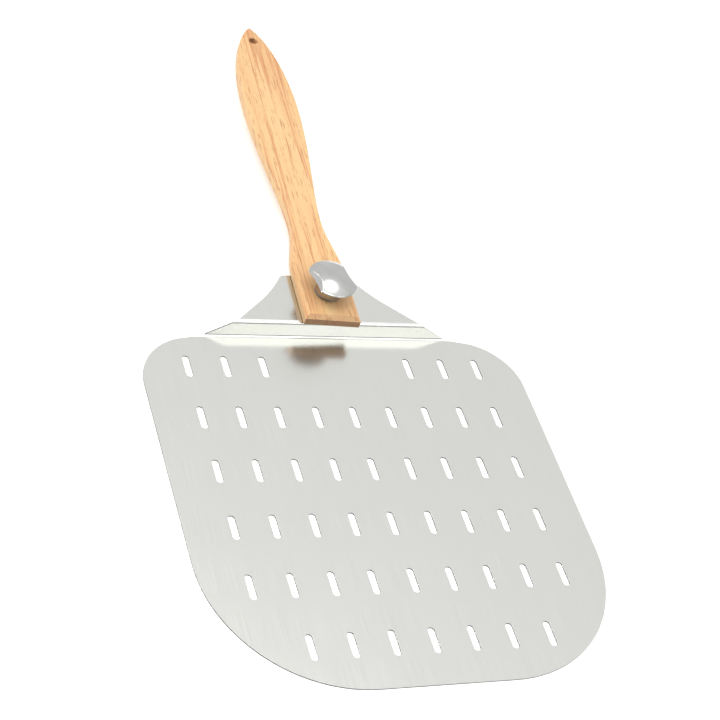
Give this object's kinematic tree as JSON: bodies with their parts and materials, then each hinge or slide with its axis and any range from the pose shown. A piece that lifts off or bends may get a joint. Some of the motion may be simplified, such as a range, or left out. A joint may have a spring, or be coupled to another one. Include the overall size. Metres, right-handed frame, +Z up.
{
  "type": "folding pizza peel",
  "caption": "Slotted steel pizza peel with a raised neck and a flat wooden handle that folds over the blade about a clamp bolt with a screw knob.",
  "frame": {"origin": "middle of the slot pattern, on the blade's underside, in the plane that the blade lies on", "axes": "+Z up from the blade, +Y from the front edge towards the handle, +X to the right seen from above with the handle away from the viewer"},
  "size_m": [0.305, 0.6568, 0.0437],
  "materials": {
    "brushed_steel": "satin, brushed along the length",
    "zinc_steel": "bright zinc plating",
    "oak_wood": "sanded pale wood with long open grain",
    "washer_steel": "bright plating",
    "knob_chrome": "polished chrome plating",
    "insert_brass": "turned brass"
  },
  "bodies": {
    "root": {"blade": "brushed_steel", "carriage_bolt": "zinc_steel"},
    "handle_body": {"handle": "oak_wood", "washer": "washer_steel"},
    "insert_body": {"knob_insert": "insert_brass"},
    "knob_body": {"knob": "knob_chrome"}
  },
  "joints": [
    {"name": "handle_fold", "type": "hinge", "parent": "root", "child": "handle_body", "pos_m": [0, 0.176, 0.015], "axis": [0, 0, 1], "continuous": true},
    {"name": "knob_lift", "type": "slide", "parent": "root", "child": "insert_body", "axis": [0, 0, 1], "range_m": [0, 0.003]},
    {"name": "knob_turn", "type": "hinge", "parent": "insert_body", "child": "knob_body", "pos_m": [0, 0.176, 0.026], "axis": [0, 0, 1], "range_deg": [0, 1080]}
  ],
  "couplings": [
    {"joint": "knob_turn", "follows": "knob_lift", "rad_per_m": 6283.2}
  ]
}
